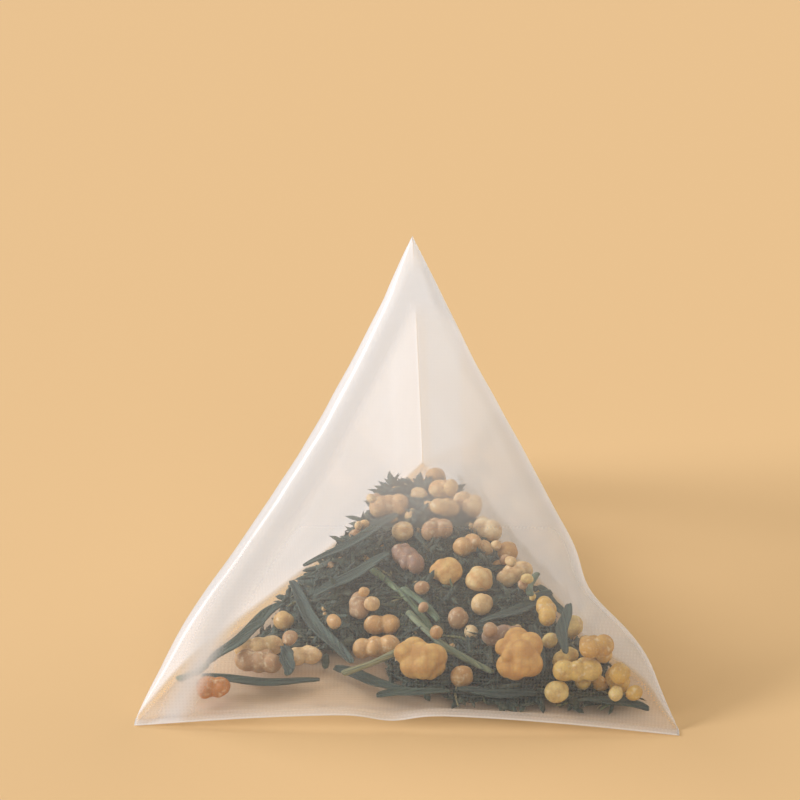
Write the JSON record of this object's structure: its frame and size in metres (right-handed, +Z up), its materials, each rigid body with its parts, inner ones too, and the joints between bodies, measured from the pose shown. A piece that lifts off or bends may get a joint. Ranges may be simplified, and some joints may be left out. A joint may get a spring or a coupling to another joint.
{
  "type": "pyramid tea bag",
  "caption": "Four-sided pyramid bag of fine see-through mesh, sealed along two crossed edges, holding roasted rice, green tea leaf and stalk.",
  "frame": {"origin": "middle of the base panel, on the surface the bag stands on", "axes": "+X along the front seal, +Y to the back corner, +Z up; the apex is above +Y"},
  "size_m": [0.0601, 0.0558, 0.0503],
  "materials": {
    "nylon_mesh": "fine woven translucent monofilament",
    "leaf_fragments": "matt crumbled dry leaf",
    "roasted_rice": "satin roasted husk",
    "popped_rice": "matt popped starch",
    "dried_leaf": "satin rolled dry leaf",
    "dried_stalk": "satin dry stalk"
  },
  "bodies": {
    "root": {"mesh_pouch": "nylon_mesh", "tea_bed": "leaf_fragments", "rice_grain_01": "roasted_rice", "rice_grain_02": "roasted_rice", "rice_grain_03": "roasted_rice", "rice_grain_04": "roasted_rice", "rice_grain_05": "roasted_rice", "rice_grain_06": "roasted_rice", "rice_grain_07": "roasted_rice", "rice_grain_08": "roasted_rice", "rice_grain_09": "roasted_rice", "rice_grain_10": "roasted_rice", "rice_grain_11": "roasted_rice", "rice_grain_12": "roasted_rice", "rice_grain_13": "roasted_rice", "rice_grain_14": "roasted_rice", "rice_grain_15": "roasted_rice", "rice_grain_16": "roasted_rice", "rice_grain_17": "roasted_rice", "rice_grain_18": "roasted_rice", "rice_grain_19": "roasted_rice", "rice_grain_20": "roasted_rice", "rice_grain_21": "roasted_rice", "rice_grain_22": "roasted_rice", "rice_grain_23": "roasted_rice", "rice_grain_24": "roasted_rice", "rice_grain_25": "roasted_rice", "rice_grain_26": "roasted_rice", "rice_grain_27": "roasted_rice", "rice_grain_28": "roasted_rice", "rice_grain_29": "roasted_rice", "rice_grain_30": "roasted_rice", "rice_grain_31": "roasted_rice", "rice_grain_32": "roasted_rice", "popped_grain_01": "popped_rice", "popped_grain_02": "popped_rice", "popped_grain_03": "popped_rice", "popped_grain_04": "popped_rice", "popped_grain_05": "popped_rice", "tea_leaf_01": "dried_leaf", "tea_leaf_02": "dried_leaf", "tea_leaf_03": "dried_leaf", "tea_leaf_04": "dried_leaf", "tea_leaf_05": "dried_leaf", "tea_leaf_06": "dried_leaf", "tea_leaf_07": "dried_leaf", "tea_leaf_08": "dried_leaf", "tea_leaf_09": "dried_leaf", "tea_leaf_10": "dried_leaf", "tea_leaf_11": "dried_leaf", "tea_leaf_12": "dried_leaf", "tea_leaf_13": "dried_leaf", "tea_leaf_14": "dried_leaf", "tea_leaf_15": "dried_leaf", "tea_stalk_01": "dried_stalk", "tea_stalk_02": "dried_stalk", "tea_stalk_03": "dried_stalk", "tea_stalk_04": "dried_stalk", "tea_stalk_05": "dried_stalk", "tea_stalk_06": "dried_stalk"}
  },
  "joints": []
}
